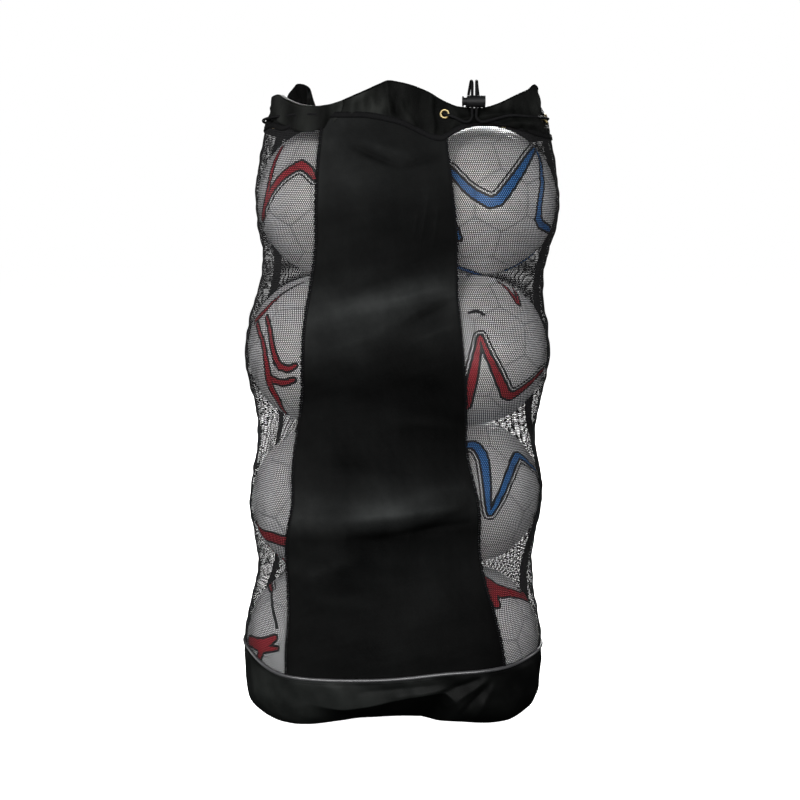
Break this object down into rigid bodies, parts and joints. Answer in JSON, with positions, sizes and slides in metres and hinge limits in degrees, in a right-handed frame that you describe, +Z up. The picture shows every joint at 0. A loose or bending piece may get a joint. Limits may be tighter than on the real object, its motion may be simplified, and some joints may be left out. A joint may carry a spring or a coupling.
{
  "type": "mesh ball bag",
  "caption": "Tall drawstring mesh ball bag standing full of footballs, with a solid front panel, coated base band, eyelet collar and shoulder strap.",
  "frame": {"origin": "centre of the base on the floor", "axes": "+Z up, the solid front panel faces -Y, +X to the right as seen from the front"},
  "size_m": [0.4676, 0.5189, 0.935],
  "materials": {
    "base_cloth": "black coated cloth, slightly glossy",
    "piping": "glossy black corded piping",
    "panel_cloth": "black woven oxford cloth, matt",
    "collar_cloth": "black woven oxford cloth, creased",
    "mesh": "open black knitted mesh",
    "tape": "black woven binding tape",
    "webbing": "black ribbed webbing",
    "pad_cloth": "black padded cloth",
    "cord": "black braided cord",
    "lock_plastic": "black moulded plastic",
    "brass": "polished brass, a little dull",
    "spring_steel": "bare spring wire",
    "ring_steel": "black enamelled wire",
    "ball_cover": "white synthetic leather with red or blue bands"
  },
  "bodies": {
    "bag": {"base_bottom": "base_cloth", "base_band": "base_cloth", "base_piping": "piping", "front_panel": "panel_cloth", "mesh_left": "mesh", "mesh_right": "mesh", "mesh_back": "mesh", "panel_hem_left": "tape", "panel_hem_right": "tape", "side_binding_left": "tape", "side_binding_right": "tape", "collar": "collar_cloth", "collar_tape": "tape", "eyelets": "brass", "eyelet_washers": "brass", "drawstring": "cord", "cord_tail_a": "cord", "cord_tail_b": "cord", "tail_knot_a": "cord", "tail_knot_b": "cord", "strap_tab_top": "webbing", "strap_tab_bottom": "webbing"},
    "cord_lock": {"cord_lock_barrel": "lock_plastic", "cord_lock_spring": "spring_steel"},
    "lock_button": {"cord_lock_button": "lock_plastic"},
    "shoulder_strap": {"strap_ring_top": "ring_steel", "strap_ring_bottom": "ring_steel", "strap_webbing": "webbing", "shoulder_pad": "pad_cloth"},
    "slider": {"strap_slider": "lock_plastic"},
    "ball_1_body": {"ball_1": "ball_cover"},
    "ball_2_body": {"ball_2": "ball_cover"},
    "ball_3_body": {"ball_3": "ball_cover"},
    "ball_4_body": {"ball_4": "ball_cover"},
    "ball_5_body": {"ball_5": "ball_cover"},
    "ball_6_body": {"ball_6": "ball_cover"},
    "ball_7_body": {"ball_7": "ball_cover"},
    "ball_8_body": {"ball_8": "ball_cover"},
    "ball_9_body": {"ball_9": "ball_cover"},
    "ball_10_body": {"ball_10": "ball_cover"},
    "ball_11_body": {"ball_11": "ball_cover"},
    "ball_12_body": {"ball_12": "ball_cover"}
  },
  "joints": [
    {"name": "cord_lock_slide", "type": "slide", "parent": "bag", "child": "cord_lock", "axis": [0, 0, 1], "range_m": [0, 0.008]},
    {"name": "lock_button_press", "type": "slide", "parent": "cord_lock", "child": "lock_button", "axis": [1, 0, 0], "range_m": [0, 0.004], "stiffness_N_per_m": 900, "springref_m": -0.002, "deforming": ["cord_lock_spring"]},
    {"name": "shoulder_strap_swing", "type": "hinge", "parent": "bag", "child": "shoulder_strap", "pos_m": [0, 0.272, 0.45], "axis": [0, 0, 1], "range_deg": [-35, 35], "deforming": ["strap_tab_top", "strap_tab_bottom"]},
    {"name": "slider_slide", "type": "slide", "parent": "shoulder_strap", "child": "slider", "axis": [0, 0, 1], "range_m": [-0.06, 0.05]},
    {"name": "turn_ball_01", "type": "hinge", "parent": "bag", "child": "ball_1_body", "pos_m": [-0.11855, -0.07125, 0.1135], "axis": [0, 0, 1], "continuous": true},
    {"name": "turn_ball_02", "type": "hinge", "parent": "bag", "child": "ball_2_body", "pos_m": [0.10055, -0.07125, 0.1135], "axis": [0, 0, 1], "continuous": true},
    {"name": "turn_ball_03", "type": "hinge", "parent": "bag", "child": "ball_3_body", "pos_m": [-0.009, 0.1185, 0.1135], "axis": [0, 0, 1], "continuous": true},
    {"name": "turn_ball_04", "type": "hinge", "parent": "bag", "child": "ball_4_body", "pos_m": [-0.10465, -0.10201, 0.3295], "axis": [0, 0, 1], "continuous": true},
    {"name": "turn_ball_05", "type": "hinge", "parent": "bag", "child": "ball_5_body", "pos_m": [0.10374, -0.0343, 0.3295], "axis": [0, 0, 1], "continuous": true},
    {"name": "turn_ball_06", "type": "hinge", "parent": "bag", "child": "ball_6_body", "pos_m": [-0.05909, 0.11231, 0.3295], "axis": [0, 0, 1], "continuous": true},
    {"name": "turn_ball_07", "type": "hinge", "parent": "bag", "child": "ball_7_body", "pos_m": [-0.11155, -0.07125, 0.5455], "axis": [0, 0, 1], "continuous": true},
    {"name": "turn_ball_08", "type": "hinge", "parent": "bag", "child": "ball_8_body", "pos_m": [0.10755, -0.07125, 0.5455], "axis": [0, 0, 1], "continuous": true},
    {"name": "turn_ball_09", "type": "hinge", "parent": "bag", "child": "ball_9_body", "pos_m": [-0.002, 0.1185, 0.5455], "axis": [0, 0, 1], "continuous": true},
    {"name": "turn_ball_10", "type": "hinge", "parent": "bag", "child": "ball_10_body", "pos_m": [-0.09755, -0.04125, 0.7615], "axis": [0, 0, 1], "continuous": true},
    {"name": "turn_ball_11", "type": "hinge", "parent": "bag", "child": "ball_11_body", "pos_m": [0.12155, -0.04125, 0.7615], "axis": [0, 0, 1], "continuous": true},
    {"name": "turn_ball_12", "type": "hinge", "parent": "bag", "child": "ball_12_body", "pos_m": [0.012, 0.1485, 0.7615], "axis": [0, 0, 1], "continuous": true}
  ]
}
